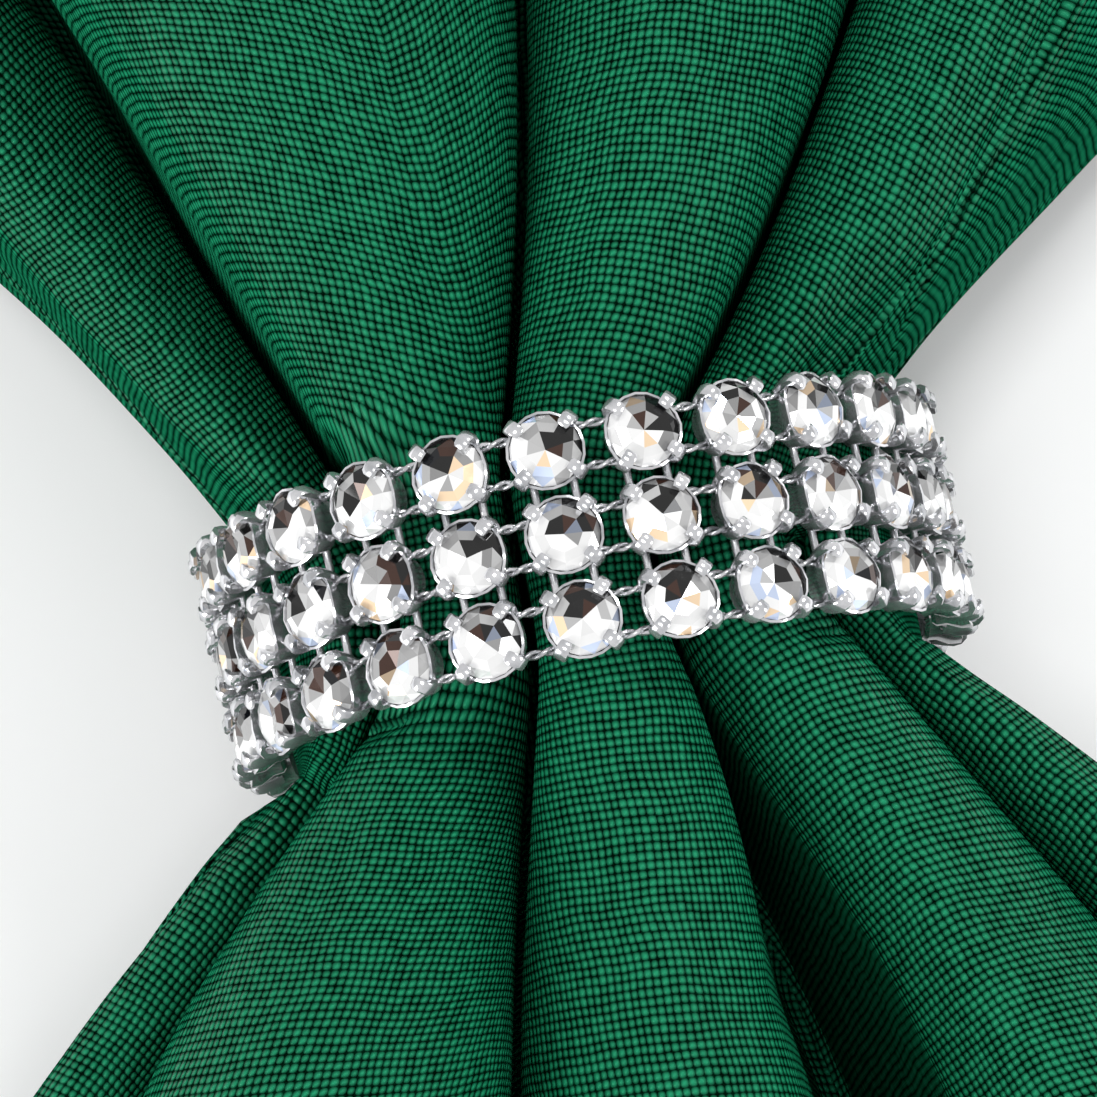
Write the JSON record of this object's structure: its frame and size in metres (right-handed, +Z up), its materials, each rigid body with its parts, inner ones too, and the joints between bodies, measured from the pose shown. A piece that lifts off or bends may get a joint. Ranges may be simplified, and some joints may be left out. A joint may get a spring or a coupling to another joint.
{
  "type": "napkin in a ring",
  "caption": "Square cloth napkin pleated across its middle and drawn through a ring of three rows of set stones, both wings fanned out flat.",
  "frame": {"origin": "on the table under the middle of the whole object's bounding box", "axes": "+Y along the ring's axis towards the back wing, +X across the pleats, +Z up"},
  "size_m": [0.3396, 0.3975, 0.0459],
  "materials": {
    "napkin_cloth": "matte basket weave, dark green",
    "ring_silver": "polished silver-coloured metal with clear faceted stones"
  },
  "bodies": {
    "root": {"napkin": "napkin_cloth", "chain_front": "ring_silver", "chain_middle": "ring_silver", "chain_back": "ring_silver", "link_front_01": "ring_silver", "link_front_02": "ring_silver", "link_front_03": "ring_silver", "link_front_04": "ring_silver", "link_front_05": "ring_silver", "link_front_06": "ring_silver", "link_front_07": "ring_silver", "link_front_08": "ring_silver", "link_front_09": "ring_silver", "link_front_10": "ring_silver", "link_front_11": "ring_silver", "link_front_12": "ring_silver", "link_front_13": "ring_silver", "link_front_14": "ring_silver", "link_front_15": "ring_silver", "link_front_16": "ring_silver", "link_front_17": "ring_silver", "link_front_18": "ring_silver", "link_front_19": "ring_silver", "link_front_20": "ring_silver", "link_front_21": "ring_silver", "link_front_22": "ring_silver", "link_front_23": "ring_silver", "link_front_24": "ring_silver", "link_back_01": "ring_silver", "link_back_02": "ring_silver", "link_back_03": "ring_silver", "link_back_04": "ring_silver", "link_back_05": "ring_silver", "link_back_06": "ring_silver", "link_back_07": "ring_silver", "link_back_08": "ring_silver", "link_back_09": "ring_silver", "link_back_10": "ring_silver", "link_back_11": "ring_silver", "link_back_12": "ring_silver", "link_back_13": "ring_silver", "link_back_14": "ring_silver", "link_back_15": "ring_silver", "link_back_16": "ring_silver", "link_back_17": "ring_silver", "link_back_18": "ring_silver", "link_back_19": "ring_silver", "link_back_20": "ring_silver", "link_back_21": "ring_silver", "link_back_22": "ring_silver", "link_back_23": "ring_silver", "link_back_24": "ring_silver"}
  },
  "joints": []
}
